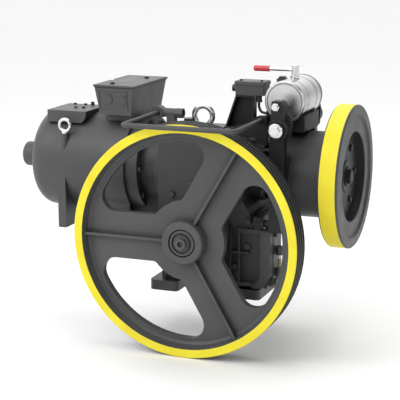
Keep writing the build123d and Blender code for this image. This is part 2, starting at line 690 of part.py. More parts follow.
# ---------------------------------------------------------------- motor
def make_motor():
    with BuildPart() as adapter:
        # end bell, neck, flange on the worm case, and the web under the neck
        ring_x(MOTOR_RIGHT_X, END_BELL_RIGHT_X, END_BELL_R, 60)
        ring_x(END_BELL_RIGHT_X - 1, -141, 98, 60)
        ring_x(-142, WORM_CASE_LEFT_X, 112, 60)
        block(MOTOR_RIGHT_X, -142, -62, 62, RAIL_Z, WORM_Z - 70)
        ring_x(-144, WORM_CASE_LEFT_X, 62, 40)
        rod_y(-CASE_HALF_Y, CASE_HALF_Y, CASE_R + 0.1, mode=Mode.SUBTRACT)
    save(adapter.part, "motor_adapter")

    with BuildPart() as frame:
        ring_x(MOTOR_BODY_LEFT_X, MOTOR_RIGHT_X, MOTOR_R, MOTOR_BORE_R)
        for side in (-1, 1):
            near_y, far_y = sorted((side * 58, side * -LEG_FRONT_Y))
            block(LEG_X - LEG_WIDTH / 2, LEG_X + LEG_WIDTH / 2, near_y, far_y, LEG_FOOT_Z, 352)
            with BuildSketch(Plane(origin=(SMALL_EYE_X - 3, side * 118, 320))):
                Circle(13)
            with BuildSketch(Plane(origin=(SMALL_EYE_X, side * -SMALL_EYE_Y, 405))):
                Circle(9)
            loft()
        rod_x(MOTOR_BODY_LEFT_X, MOTOR_RIGHT_X, MOTOR_BORE_R, mode=Mode.SUBTRACT)
        # foot rails, and the saddle under the terminal box
        block(-345, MOTOR_RIGHT_X, -92, 92, RAIL_Z, WORM_Z - 80)
        block(-304, MOTOR_RIGHT_X, -62, 62, 430, BOX_LOW_Z)
        rod_x(MOTOR_BODY_LEFT_X, MOTOR_RIGHT_X, MOTOR_BORE_R, mode=Mode.SUBTRACT)
        block(-280, -230, -30, 30, 420, 470, mode=Mode.SUBTRACT)
        rod_z(380, 410, 5, SMALL_EYE_X, SMALL_EYE_Y, mode=Mode.SUBTRACT)
        with Locations((LEG_X, -100, LEG_FOOT_Z), (LEG_X, 100, LEG_FOOT_Z)):
            Cylinder(5, 50, mode=Mode.SUBTRACT)
    save(frame.part, "motor_frame")

    end_round = MOTOR_BODY_LEFT_X - MOTOR_LEFT_X
    with BuildPart() as shield:
        with BuildSketch(Plane(origin=(0, 0, WORM_Z), x_dir=(0, 0, 1), z_dir=(0, -1, 0))):
            with BuildLine():
                Polyline(
                    (MOTOR_BORE_R - 0.2, -MOTOR_BODY_LEFT_X - 8),
                    (MOTOR_BORE_R - 0.2, -MOTOR_BODY_LEFT_X),
                    (MOTOR_R, -MOTOR_BODY_LEFT_X),
                )
                JernArc((MOTOR_R, -MOTOR_BODY_LEFT_X), (0, 1), end_round, 90)
                Polyline(
                    (MOTOR_R - end_round, -MOTOR_LEFT_X),
                    (14, -MOTOR_LEFT_X),
                    (14, -MOTOR_LEFT_X - 6),
                    (42, -MOTOR_LEFT_X - 6),
                    (42, 474),
                    (54, 474),
                    (54, 486),
                    (98, 480),
                    (MOTOR_BORE_R - 12, -MOTOR_BODY_LEFT_X - 8),
                    (MOTOR_BORE_R - 0.2, -MOTOR_BODY_LEFT_X - 8),
                )
            make_face()
        revolve(axis=Axis((0, 0, WORM_Z), (1, 0, 0)))
    save(shield.part, "motor_end_shield")

    with BuildPart() as stator:
        ring_x(-445, -265, MOTOR_BORE_R, 71)
        with Locations(across_x(-355)):
            with PolarLocations(76, 24):
                Box(14, 5, 190, mode=Mode.SUBTRACT)
    save(stator.part, "stator_core")

    with BuildPart() as windings:
        ring_x(-458, -446, 104, 74)
        ring_x(-264, -246, 108, 74)
        fillet(windings.edges().filter_by(GeomType.CIRCLE), 5)
    save(windings.part, "stator_windings")

    with BuildPart() as cap:
        rod_x(CAP_LEFT_X, MOTOR_LEFT_X, CAP_R)
        rod_x(CAP_LEFT_X + 7, MOTOR_LEFT_X, CAP_R - 6, mode=Mode.SUBTRACT)
        fillet(cap.edges().filter_by(GeomType.CIRCLE).sort_by(Axis.X)[0], 8)
    save(cap.part, "encoder_cover")


def make_terminal_box():
    mid_x = (BOX_LEFT_X + BOX_RIGHT_X) / 2
    mid_y = (BOX_FRONT_Y + BOX_REAR_Y) / 2
    width = BOX_RIGHT_X - BOX_LEFT_X
    length = BOX_REAR_Y - BOX_FRONT_Y
    with BuildPart() as box:
        with BuildSketch(Plane(origin=(mid_x, mid_y, BOX_LOW_Z))):
            Rectangle(width - 28, length - 26)
        with BuildSketch(Plane(origin=(mid_x, mid_y, BOX_LID_Z - 5))):
            Rectangle(width - 6, length - 6)
        loft()
        with BuildSketch(Plane(origin=(mid_x, mid_y, 467))):
            Rectangle(width - 36, length - 34)
        with BuildSketch(Plane(origin=(mid_x, mid_y, BOX_LID_Z - 5))):
            Rectangle(width - 16, length - 16)
        loft(mode=Mode.SUBTRACT)
        # two knock-outs in a sunk panel of the leaning front wall
        wall_y = BOX_FRONT_Y + 13 - 10 * (KNOCK_OUT_Z - BOX_LOW_Z) / (BOX_LID_Z - 5 - BOX_LOW_Z)
        front_wall = Plane(origin=(mid_x, wall_y, KNOCK_OUT_Z), x_dir=(1, 0, 0), z_dir=(0, -7.5, -1))
        with BuildSketch(front_wall) as sunk:
            with Locations((-6, -5)):
                Rectangle(76, 48)
            with Locations((38, -4)):
                Rectangle(4, 54)
        extrude(sunk.sketch, amount=-1.2, mode=Mode.SUBTRACT)
        with BuildSketch(front_wall.offset(-1.4)) as discs:
            with Locations((-20, -2), (20, -4)):
                Circle(13)
        extrude(discs.sketch, amount=2.2)
        # ribs pressed into the right wall
        right_wall = Plane(origin=(BOX_RIGHT_X - 9, mid_y, 497), x_dir=(0, 1, 0), z_dir=(7.5, 0, -1.1))
        with BuildSketch(right_wall) as pressed:
            with Locations((-86, 0), (74, 0)):
                Rectangle(9, 56)
        extrude(pressed.sketch, amount=-2, mode=Mode.SUBTRACT)
        block(-280, -230, -30, 30, BOX_LOW_Z - 6, BOX_LOW_Z + 14, mode=Mode.SUBTRACT)
    save(box.part, "terminal_box")

    with BuildPart() as lid:
        block(BOX_LEFT_X, BOX_RIGHT_X, BOX_FRONT_Y, BOX_REAR_Y, BOX_LID_Z - 5, BOX_LID_Z)
        block(BOX_LEFT_X - 1, BOX_LEFT_X + 6, -10, 16, BOX_LID_Z - 6, BOX_LID_Z + 1, mode=Mode.SUBTRACT)
        fillet(lid.edges().filter_by(Axis.Z).group_by(Axis.X)[0], 2)
    save(lid.part, "terminal_box_lid")

    with BuildPart() as cover:
        with BuildSketch(front(COVER_FRONT_Y)) as outline:
            with BuildLine():
                Polyline(
                    (COVER_LEFT_X, COVER_LOW_Z),
                    (COVER_RIGHT_X - 14, COVER_LOW_Z),
                    (COVER_RIGHT_X - 2, COVER_LOW_Z + 14),
                    (COVER_RIGHT_X, COVER_TOP_Z),
                    (COVER_LEFT_X, COVER_TOP_Z),
                    close=True,
                )
            make_face()
            fillet(outline.vertices().sort_by(Axis.X)[2:4], 5)
        extrude(amount=COVER_FRONT_Y - COVER_REAR_Y)
        rod_x(COVER_LEFT_X - 5, COVER_RIGHT_X + 5, MOTOR_R + 0.1, mode=Mode.SUBTRACT)
    save(cover.part, "motor_top_cover")

    with BuildPart() as screws:
        for screw_x, screw_y in ((-272, -84), (-236, 60)):
            rod_z(BOX_LID_Z, BOX_LID_Z + 4, 6, screw_x, screw_y)
        for screw_x, screw_y in ((-408, -30), (-386, -28), (-408, 30), (-440, 30)):
            rod_z(COVER_TOP_Z, COVER_TOP_Z + 3.5, 4.5, screw_x, screw_y)
        rod_z(COVER_TOP_Z, COVER_TOP_Z + 9, 5, -386, 30)
        for screw_x in (64, 121):
            rod_z(557, 560, 3.5, screw_x, -14)
    save(screws.part, "cover_screws")


# ---------------------------------------------------------------- brake
def arm(side, name):
    """One brake arm with its shoe: side is -1 for the front arm and 1 for the rear arm."""
    with BuildPart() as body:
        with BuildSketch(front(side * ARM_INNER_Y)) as outline:
            with BuildLine():
                Polyline(
                    (ARM_X - 20, PIVOT_Z - 20),
                    (ARM_X + 20, PIVOT_Z - 20),
                    (ARM_X + ARM_HALF_WIDTH, PIVOT_Z + 20),
                    (ARM_X + ARM_HALF_WIDTH, 472),
                    (MAGNET_X + LUG_RIGHT, 486),
                    (MAGNET_X + LUG_RIGHT, LUG_TOP_Z - 12),
                    (MAGNET_X + LUG_LEFT, LUG_TOP_Z),
                    (MAGNET_X - LUG_LEFT, LUG_TOP_Z),
                    (MAGNET_X - LUG_LEFT, 486),
                    (ARM_X - ARM_HALF_WIDTH, 472),
                    (ARM_X - ARM_HALF_WIDTH, PIVOT_Z + 20),
                    close=True,
                )
            make_face()
            fillet(outline.vertices(), 5)
        extrude(amount=-side * (ARM_OUTER_Y - ARM_INNER_Y))
        # thin stiffening web beside the lug
        with BuildSketch(front(side * ARM_INNER_Y)) as web:
            with BuildLine():
                Polyline(
                    (ARM_X, 430),
                    (ARM_X + 30, 430),
                    (ARM_X + 34, 470),
                    (ARM_X + 30, 490),
                    (ARM_X, 490),
                    close=True,
                )
            make_face()
            fillet(web.vertices(), 4)
        extrude(amount=-side * WEB_THICK)
        low_y, high_y = sorted((side * (ARM_INNER_Y + 1), side * 100))
        block(ARM_X - 24, ARM_X + 24, low_y, high_y, WORM_Z - 62, WORM_Z + 62)
        rod_x(ARM_X - 60, ARM_X + 60, DRUM_R + 8.4, mode=Mode.SUBTRACT)
        low_y, high_y = sorted((side * ARM_INNER_Y, side * (ARM_OUTER_Y + 10)))
        rod_y(low_y, high_y, 26, ROD_X, ROD_Z)
        low_y, high_y = sorted((side * (ARM_INNER_Y + 12), side * (ARM_OUTER_Y + 20)))
        rod_y(low_y, high_y, 19, ROD_X, ROD_Z, mode=Mode.SUBTRACT)
        low_y, high_y = sorted((side * 90, side * 190))
        rod_y(low_y, high_y, 11, ROD_X, ROD_Z, mode=Mode.SUBTRACT)
        rod_y(low_y, high_y, 7, MAGNET_X, MAGNET_Z - 4, mode=Mode.SUBTRACT)
        rod_x(ARM_X - 40, ARM_X + 40, PIVOT_R + RUNNING_GAP, side * PIVOT_Y, PIVOT_Z, mode=Mode.SUBTRACT)
    save(body.part, f"{name}_brake_arm")

    with BuildPart() as lining:
        ring_x(ARM_X - 24, ARM_X + 24, DRUM_R + 8.4, DRUM_R + 0.4)
        block(0, 400, -200, 200, 0, WORM_Z - 60, mode=Mode.SUBTRACT)
        block(0, 400, -200, 200, WORM_Z + 60, 600, mode=Mode.SUBTRACT)
        low_y, high_y = sorted((-side * 200, 0))
        block(0, 400, low_y, high_y, 0, 600, mode=Mode.SUBTRACT)
    save(lining.part, f"{name}_brake_lining")

    with BuildPart() as screw:
        low_y, high_y = sorted((side * 89.5, side * 166))
        rod_y(low_y, high_y, 7, MAGNET_X, MAGNET_Z - 4)
        low_y, high_y = sorted((side * ARM_OUTER_Y, side * (ARM_OUTER_Y + 8)))
        hexagon_y(low_y, high_y, 10.5, MAGNET_X, MAGNET_Z - 4)
    save(screw.part, f"{name}_adjusting_screw")

    with BuildPart() as plunger:
        low_y, high_y = sorted((side * 30, side * 89))
        rod_y(low_y, high_y, 12, MAGNET_X, MAGNET_Z - 4)
    save(plunger.part, f"{name}_magnet_plunger")


def make_brake():
    arm(-1, "front")
    arm(1, "rear")

    with BuildPart() as pins:
        for side in (-1, 1):
            rod_x(146, 240, PIVOT_R, side * PIVOT_Y, PIVOT_Z)
            rod_x(240, 246, 14, side * PIVOT_Y, PIVOT_Z)
    save(pins.part, "pivot_pins")

    with BuildPart() as rod:
        rod_y(-176, 176, 7, ROD_X, ROD_Z)
        for side in (-1, 1):
            low_y, high_y = sorted((side * 164, side * 176))
            rod_y(low_y, high_y, 18.5, ROD_X, ROD_Z)
            low_y, high_y = sorted((side * 176, side * 182))
            hexagon_y(low_y, high_y, 12, ROD_X, ROD_Z)
        chamfer(rod.edges().filter_by(GeomType.CIRCLE).filter_by(lambda e: e.radius > 18), 2)
    save(rod.part, "spring_rod")

    with BuildPart() as springs:
        for side in (-1, 1):
            with BuildLine() as coil:
                Helix(
                    pitch=4.8,
                    height=19.2,
                    radius=13.5,
                    center=(ROD_X, side * 141.4, ROD_Z),
                    direction=(0, side, 0),
                )
            with BuildSketch(Plane(origin=coil.line @ 0, z_dir=coil.line % 0)):
                Circle(2)
            sweep(path=coil.line, is_frenet=True)
    save(springs.part, "brake_springs")

    with BuildPart() as magnet:
        rod_y(-MAGNET_HALF_Y + 10, MAGNET_HALF_Y - 10, MAGNET_R, MAGNET_X, MAGNET_Z)
        for groove_y in (-40, 28, 36):
            ring_y(
                groove_y - 1,
                groove_y + 1,
                MAGNET_R + 1,
                MAGNET_R - 1.5,
                MAGNET_X,
                MAGNET_Z,
                mode=Mode.SUBTRACT,
            )
        rod_y(-60, 60, 44, MAGNET_X, MAGNET_Z, mode=Mode.SUBTRACT)
        rod_y(-80, 80, 12 + RUNNING_GAP, MAGNET_X, MAGNET_Z - 4, mode=Mode.SUBTRACT)
        rod_z(555, 575, LEVER_POST_R + RUNNING_GAP, ARM_X, 0, mode=Mode.SUBTRACT)
    save(magnet.part, "magnet_body")

    with BuildPart() as plates:
        for side in (-1, 1):
            low_y, high_y = sorted((side * (MAGNET_HALF_Y - 10), side * MAGNET_HALF_Y))
            rod_y(low_y, high_y, MAGNET_R + 1, MAGNET_X, MAGNET_Z)
        rims = plates.edges().filter_by(GeomType.CIRCLE).sort_by(Axis.Y)
        chamfer([rims[0], rims[-1]], 3)
        for side in (-1, 1):
            low_y, high_y = sorted((side * (MAGNET_HALF_Y - 1.5), side * (MAGNET_HALF_Y + 0.1)))
            ring_y(low_y, high_y, 46.5, 44.5, MAGNET_X, MAGNET_Z, mode=Mode.SUBTRACT)
        rod_y(-90, 90, 12 + RUNNING_GAP, MAGNET_X, MAGNET_Z - 4, mode=Mode.SUBTRACT)
    save(plates.part, "magnet_end_plates")

    with BuildPart() as coil_winding:
        ring_y(-56, 56, 43.5, 20, MAGNET_X, MAGNET_Z)
    save(coil_winding.part, "magnet_coil")

    with BuildPart() as support:
        # plate bolted on the worm case, two side wings and the saddle under the magnet
        block(20, WORM_CASE_RIGHT_X, -92, 92, WORM_CASE_TOP_Z, WORM_CASE_TOP_Z + 10)
        for wing_y in (-92, 76):
            with BuildSketch(front(wing_y)):
                with BuildLine():
                    Polyline(
                        (20, WORM_CASE_TOP_Z),
                        (20, 436),
                        (62, 442),
                        (108, 458),
                        (136, 478),
                        (160, 480),
                        (161, 404),
                        (140, 404),
                        (128, WORM_CASE_TOP_Z),
                        close=True,
                    )
                make_face()
            extrude(amount=-16)
        block(128, 252, -64, 64, 438, 452)
        block(236, 252, -64, 64, 450, 480)
        block(128, 150, -92, 92, 438, 460)
        for rib_y in (-62, 50):
            block(150, 240, rib_y, rib_y + 12, 450, 490)
        rod_y(-95, 95, MAGNET_R + 0.1, MAGNET_X, MAGNET_Z, mode=Mode.SUBTRACT)
        rod_y(-95, 95, 9, ROD_X, ROD_Z, mode=Mode.SUBTRACT)
        # seats for the guard bar
        rod_y(-93, -83.9, GUARD_BAR_R + RUNNING_GAP, GUARD_RIGHT_X, GUARD_Z, mode=Mode.SUBTRACT)
    save(support.part, "brake_support")

    with BuildPart() as pivots:
        # cross beam that carries the two pivot pins
        block(150, 166, -152, 152, 197, 227)
        for side in (-1, 1):
            rod_x(146, 174, 17, side * PIVOT_Y, PIVOT_Z)
        for side in (-1, 1):
            rod_x(140, 180, PIVOT_R, side * PIVOT_Y, PIVOT_Z, mode=Mode.SUBTRACT)
        block(100, 151, -70, 70, 197, 227)
        rod_y(-150, 150, CASE_R + 0.1, mode=Mode.SUBTRACT)
        rod_x(90, 160, 79, mode=Mode.SUBTRACT)
        rod_x(140, 400, DRUM_R + 3, mode=Mode.SUBTRACT)
    save(pivots.part, "pivot_beam")


def make_release_lever():
    with BuildPart() as lever:
        collar_low = MAGNET_Z + MAGNET_R + 0.6
        rod_z(collar_low - 7, LEVER_TOP_Z, LEVER_POST_R, ARM_X, 0)
        rod_z(collar_low, collar_low + 4, LEVER_POST_R + 3, ARM_X, 0)
        chamfer(lever.edges().filter_by(GeomType.CIRCLE).sort_by(Axis.Z)[-1], 1.5)
        rod_x(ARM_X - LEVER_REACH, ARM_X, 5, 0, LEVER_Z)
    save(lever.part, "release_lever")
    with BuildPart() as grip:
        rod_x(ARM_X - LEVER_REACH - 10, ARM_X - 69, 7.5, 0, LEVER_Z)
        fillet(grip.edges().filter_by(GeomType.CIRCLE).sort_by(Axis.X)[0], 4)
        rod_x(ARM_X - LEVER_REACH, ARM_X - 68, 5, 0, LEVER_Z, mode=Mode.SUBTRACT)
    save(grip.part, "lever_grip")


# ---------------------------------------------------------------- junction box and brake lead
def make_junction():
    base_z = WORM_CASE_TOP_Z + 10
    with BuildPart() as post:
        # folded channel: a rear panel, two leaning side flanges and a foot plate
        with BuildSketch(front(-8)) as panel:
            with BuildLine():
                Polyline((24, base_z), (104, base_z), (104, 520), (54, 520), close=True)
            make_face()
        extrude(amount=-5)
        with BuildSketch(front(-28)) as flange:
            with BuildLine():
                Polyline((24, base_z), (29, base_z), (59, 520), (54, 520), close=True)
            make_face()
            with BuildLine():
                Polyline((99, base_z), (104, base_z), (104, 520), (99, 520), close=True)
            make_face()
        extrude(amount=-22)
        block(24, 104, -34, 20, base_z, base_z + 5)
        block(54, 104, -30, 16, 516, 521)
    save(post.part, "junction_post")

    with BuildPart() as box:
        block(53, 132, -30, 20, 521, 548)
        block(51, 134, -32, 22, 547, 557)
        fillet(box.edges().filter_by(Axis.Z), 3)
        chamfer(box.edges().group_by(Axis.Z)[-1], 2)
        block(58, 127, -25, 15, 525, 552, mode=Mode.SUBTRACT)
        rod_x(50, 60, 5, -6, 536, mode=Mode.SUBTRACT)
        rod_z(515, 530, LEAD_R, 114, LEAD_Y, mode=Mode.SUBTRACT)
    save(box.part, "junction_box")

    with BuildPart() as glands:
        rod_x(44, 53, 9, -6, 536)
        hexagon_x(39, 44, 10, -6, 536)
        # outlet under the box for the lead to the magnet
        rod_z(509, 521, 8, 114, LEAD_Y)
        hexagon_z(503, 509, 9, 114, LEAD_Y)
        rod_z(495, 525, LEAD_R, 114, LEAD_Y, mode=Mode.SUBTRACT)
        # terminal block on top of the magnet
        block(164, 186, -24, 4, 546, 567)
        block(168, 182, -20, 0, 566, 572)
        rod_y(-100, 100, MAGNET_R, MAGNET_X, MAGNET_Z, mode=Mode.SUBTRACT)
    save(glands.part, "cable_glands")

    # the lead hangs in a short loop from the box to the lower left of the magnet
    route_points = [
        (114, LEAD_Y, 520),
        (114, LEAD_Y, 492),
        (119, LEAD_Y, 478),
        (134, LEAD_Y, 474),
        (150, LEAD_Y, 484),
        (160, LEAD_Y, 492),
    ]
    with BuildPart() as lead:
        with BuildLine() as route:
            FilletPolyline(*route_points, radius=[14, 13, 18, 60])
        with BuildSketch(Plane(origin=route.line @ 0, z_dir=route.line % 0)):
            Circle(LEAD_R)
        sweep(path=route.line)
        rod_y(-100, 100, MAGNET_R + RUNNING_GAP, MAGNET_X, MAGNET_Z, mode=Mode.SUBTRACT)
    save(lead.part, "brake_lead")
    route_length = sum(edge.length for edge in route.line.edges())
    print("brake lead radii 14, 13, 18, 60 mm, length", round(route_length, 1), "mm")
    print("section times length", round(pi * LEAD_R**2 * route_length), "volume", round(lead.part.volume))


make_bearings()
make_sheave()
make_worm_wheel()
make_worm_line()
make_gearbox()
make_lifting_eyes()
make_rope_guard()
make_motor()
make_terminal_box()
make_brake()
make_release_lever()
make_junction()
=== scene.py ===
"""Looks of the geared lift traction machine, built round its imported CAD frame, in metres."""

import json
import math

import bmesh
import bpy
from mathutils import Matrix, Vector


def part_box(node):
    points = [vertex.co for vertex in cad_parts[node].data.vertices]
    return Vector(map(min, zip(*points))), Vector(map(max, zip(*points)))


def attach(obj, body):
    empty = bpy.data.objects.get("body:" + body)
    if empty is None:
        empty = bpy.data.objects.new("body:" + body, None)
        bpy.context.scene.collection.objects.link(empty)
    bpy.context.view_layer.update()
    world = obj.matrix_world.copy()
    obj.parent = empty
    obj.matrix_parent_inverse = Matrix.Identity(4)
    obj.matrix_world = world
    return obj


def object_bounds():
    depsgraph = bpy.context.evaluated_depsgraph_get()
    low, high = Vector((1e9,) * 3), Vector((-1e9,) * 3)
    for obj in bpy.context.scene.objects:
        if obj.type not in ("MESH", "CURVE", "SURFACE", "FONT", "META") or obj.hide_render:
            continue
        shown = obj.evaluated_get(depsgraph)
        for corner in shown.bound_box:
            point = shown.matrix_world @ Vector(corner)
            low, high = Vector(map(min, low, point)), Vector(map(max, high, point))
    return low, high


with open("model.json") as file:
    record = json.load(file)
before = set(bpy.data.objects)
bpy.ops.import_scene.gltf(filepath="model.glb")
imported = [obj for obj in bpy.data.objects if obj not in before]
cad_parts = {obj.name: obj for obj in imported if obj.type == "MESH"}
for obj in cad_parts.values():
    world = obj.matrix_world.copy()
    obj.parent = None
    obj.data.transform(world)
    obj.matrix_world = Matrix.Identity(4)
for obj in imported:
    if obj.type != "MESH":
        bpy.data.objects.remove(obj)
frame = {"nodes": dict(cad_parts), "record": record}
cad_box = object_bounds()

# ---------------------------------------------------------------- places read from the frame
SHEAVE_LOW, SHEAVE_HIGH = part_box("traction_sheave")
FLYWHEEL_LOW, FLYWHEEL_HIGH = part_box("flywheel")
MAGNET_LOW, MAGNET_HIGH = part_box("magnet_body")
SHEAVE_CENTRE = (SHEAVE_LOW + SHEAVE_HIGH) / 2
FLYWHEEL_CENTRE = (FLYWHEEL_LOW + FLYWHEEL_HIGH) / 2
MAGNET_CENTRE = (MAGNET_LOW + MAGNET_HIGH) / 2
SHEAVE_RADIUS = (SHEAVE_HIGH.z - SHEAVE_LOW.z) / 2
RIM_INNER = 0.95 * SHEAVE_RADIUS
FLYWHEEL_RADIUS = (FLYWHEEL_HIGH.z - FLYWHEEL_LOW.z) / 2


def rim_front():
    """The y of the sheave rim's front face. The hub stands further out, so only the rim is looked at."""
    points = [vertex.co for vertex in frame["nodes"]["traction_sheave"].data.vertices]
    centre = SHEAVE_CENTRE
    rim = [point for point in points if math.hypot(point.x - centre.x, point.z - centre.z) > RIM_INNER]
    return min(point.y for point in rim)


SHEAVE_FRONT_Y = rim_front()

# ---------------------------------------------------------------- colours, linear
DARK_GREY = (0.074, 0.076, 0.076)
BLACK_PAINT = (0.019, 0.019, 0.020)
DUST_GREY = (0.16, 0.157, 0.15)
# painted shade: the dark mixed into corners and between close parts
PAINTED_SHADE_DARK = (0.012, 0.012, 0.012)
# rubbed paint and a painted highlight on edges
WORN_AND_HIGHLIGHT_GREY = (0.20, 0.20, 0.205)
YELLOW = (0.82, 0.73, 0.040)
YELLOW_DEEP = (0.75, 0.62, 0.025)
STEEL = (0.56, 0.57, 0.58)
ZINC = (0.78, 0.79, 0.80)
BLACK = (0.018, 0.018, 0.019)
RED = (0.52, 0.018, 0.028)

PAINT_RING_WIDTH = 0.022
PAINT_DEPTH = 0.0012
BAND_INSET_LEFT = 0.0035
BAND_INSET_RIGHT = 0.0055
BAND_DEPTH = 0.003
EDGE_RADIUS = 0.0014
PAINT_GLOSS = 0.25
GRAIN_DEPTH = 0.00022
WAVE_DEPTH = 0.000484

# the dark lines on the magnet: grooves round its body, the joints with its end plates, a ring on each face
GROOVES_Y = (-0.040, 0.028, 0.036)
GROOVE_REACH = 0.0011
END_LINE_Y = 0.073
END_LINE_REACH = 0.0012
FACE_BEYOND_LINE = 0.004
FACE_RING_RADIUS = 0.0455
GROOVE_DARK = (0.05, 0.05, 0.05)

# how far the painted shade in corners reaches
CREVICE_REACH = 0.11
RECESS_RADIUS = 0.120
RECESS_DEPTH = 0.0062

# ---------------------------------------------------------------- camera and light
CAMERA_AT = (1.1727, -3.1699, 0.9725)
CAMERA_AZIMUTH = math.radians(21.19)
CAMERA_ELEVATION = math.radians(12.38)
LENS_MM = 116.2
SKY_WHITE = 1.34
SKY_RIGHT = 0.16
SKY_FADE_FROM = -0.1
SKY_FADE_TO = 0.7
LIGHT_AIM = (0.0, 0.0, 0.25)
FLOOR_RADIUS = 40.0
FLOOR_GAP = 0.0005


# ---------------------------------------------------------------- node helpers
class Surface:
    """A procedural material under way: its node tree, its Principled shader and its place in the frame."""

    def __init__(self, name):
        self.material = bpy.data.materials.new(name)
        self.material.use_nodes = True
        self.tree = self.material.node_tree
        self.tree.nodes.clear()
        output = self.add("OutputMaterial")
        self.shader = self.add("BsdfPrincipled")
        self.link(self.shader.outputs[0], output.inputs["Surface"])
        coordinates = self.add("TexCoord")
        self.place = coordinates.outputs["Object"]
        self.facing = coordinates.outputs["Normal"]

    def add(self, kind, **settings):
        """A new shader node of that kind."""
        node = self.tree.nodes.new("ShaderNode" + kind)
        for name, value in settings.items():
            setattr(node, name, value)
        return node

    def link(self, source, target):
        """Joins an output to an input."""
        self.tree.links.new(source, target)

    def feed(self, target, value):
        """Sets an input from a number, a colour or an output."""
        if isinstance(value, bpy.types.NodeSocket):
            self.link(value, target)
        elif isinstance(value, tuple) and len(value) == 3 and len(target.default_value) == 4:
            target.default_value = (*value, 1.0)
        else:
            target.default_value = value

    def maths(self, operation, first, second=0.0):
        """One Math node."""
        node = self.add("Math", operation=operation)
        self.feed(node.inputs[0], first)
        self.feed(node.inputs[1], second)
        return node.outputs[0]

    def noise(self, scale, detail=3.0, rough=0.5, place=None):
        """Fractal noise from 0 to 1; scale is in cells a metre."""
        node = self.add("TexNoise")
        self.link(place or self.place, node.inputs["Vector"])
        node.inputs["Scale"].default_value = scale
        node.inputs["Detail"].default_value = detail
        node.inputs["Roughness"].default_value = rough
        return node.outputs["Fac"]

    def span(self, value, low, high, to_low=0.0, to_high=1.0):
        """value carried from low..high to to_low..to_high and held there."""
        node = self.add("MapRange")
        self.feed(node.inputs["Value"], value)
        node.inputs["From Min"].default_value = low
        node.inputs["From Max"].default_value = high
        node.inputs["To Min"].default_value = to_low
        node.inputs["To Max"].default_value = to_high
        return node.outputs["Result"]

    def blend(self, share, first, second):
        """first turning into second as share goes from 0 to 1."""
        node = self.add("Mix", data_type="RGBA")
        self.feed(node.inputs["Factor"], share)
        self.feed(node.inputs[6], first)
        self.feed(node.inputs[7], second)
        return node.outputs[2]

    def axes(self, place=None):
        """The x, y and z outputs of a place."""
        node = self.add("SeparateXYZ")
        self.link(place or self.place, node.inputs[0])
        return node.outputs

    def moved(self, origin):
        """The place measured from origin."""
        node = self.add("VectorMath", operation="SUBTRACT")
        self.link(self.place, node.inputs[0])
        node.inputs[1].default_value = tuple(origin)
        return node.outputs[0]

    def stretched(self, x, y, z, place=None):
        """The place with each axis scaled, for grain that runs one way."""
        node = self.add("VectorMath", operation="MULTIPLY")
        self.link(place or self.place, node.inputs[0])
        node.inputs[1].default_value = (x, y, z)
        return node.outputs[0]

    def near(self, value, middle, reach):
        """1 where value is within reach of middle."""
        node = self.add("Math", operation="COMPARE")
        self.feed(node.inputs[0], value)
        node.inputs[1].default_value = middle
        node.inputs[2].default_value = reach
        return node.outputs[0]

    def radius_round(self, origin, axis):
        """The distance from an axis through origin; axis is the index of its direction."""
        parts = self.axes(self.moved(origin))
        first, second = [parts[i] for i in range(3) if i != axis]
        first_square = self.maths("MULTIPLY", first, first)
        second_square = self.maths("MULTIPLY", second, second)
        return self.maths("SQRT", self.maths("ADD", first_square, second_square))

    def soft_edges(self, radius=EDGE_RADIUS):
        """A normal that rounds hard corners over radius, and a mask that is 1 on those corners."""
        bevel = self.add("Bevel", samples=4)
        bevel.inputs["Radius"].default_value = radius
        geometry = self.add("NewGeometry")
        dot = self.add("VectorMath", operation="DOT_PRODUCT")
        self.link(bevel.outputs[0], dot.inputs[0])
        self.link(geometry.outputs["Normal"], dot.inputs[1])
        return bevel.outputs[0], self.span(dot.outputs["Value"], 0.985, 0.80)

    def corner_shade(self):
        """A mask for painted shade: 1 deep in corners and between close parts, 0 in the open."""
        node = self.add("AmbientOcclusion", samples=8)
        node.inputs["Distance"].default_value = CREVICE_REACH
        return self.span(node.outputs["AO"], 0.80, 0.25)

    def relief(self, height, strength, distance, normal=None):
        """Bump from a height, over another normal if given."""
        node = self.add("Bump")
        node.inputs["Strength"].default_value = strength
        node.inputs["Distance"].default_value = distance
        self.link(height, node.inputs["Height"])
        if normal is not None:
            self.link(normal, node.inputs["Normal"])
        return node.outputs[0]

    def finish(self, colour, roughness, normal=None, metal=0.0, coat=0.0, gloss=0.5):
        """Joins the maps to the shader and gives back the material."""
        self.shader.inputs["Specular IOR Level"].default_value = gloss
        self.feed(self.shader.inputs["Base Color"], colour)
        self.feed(self.shader.inputs["Roughness"], roughness)
        self.shader.inputs["Metallic"].default_value = metal
        self.shader.inputs["Coat Weight"].default_value = coat
        if normal is not None:
            self.link(normal, self.shader.inputs["Normal"])
        return self.material


# ---------------------------------------------------------------- materials
def shaded(colour, factor):
    """A colour made lighter or darker."""
    return tuple(part * factor for part in colour)


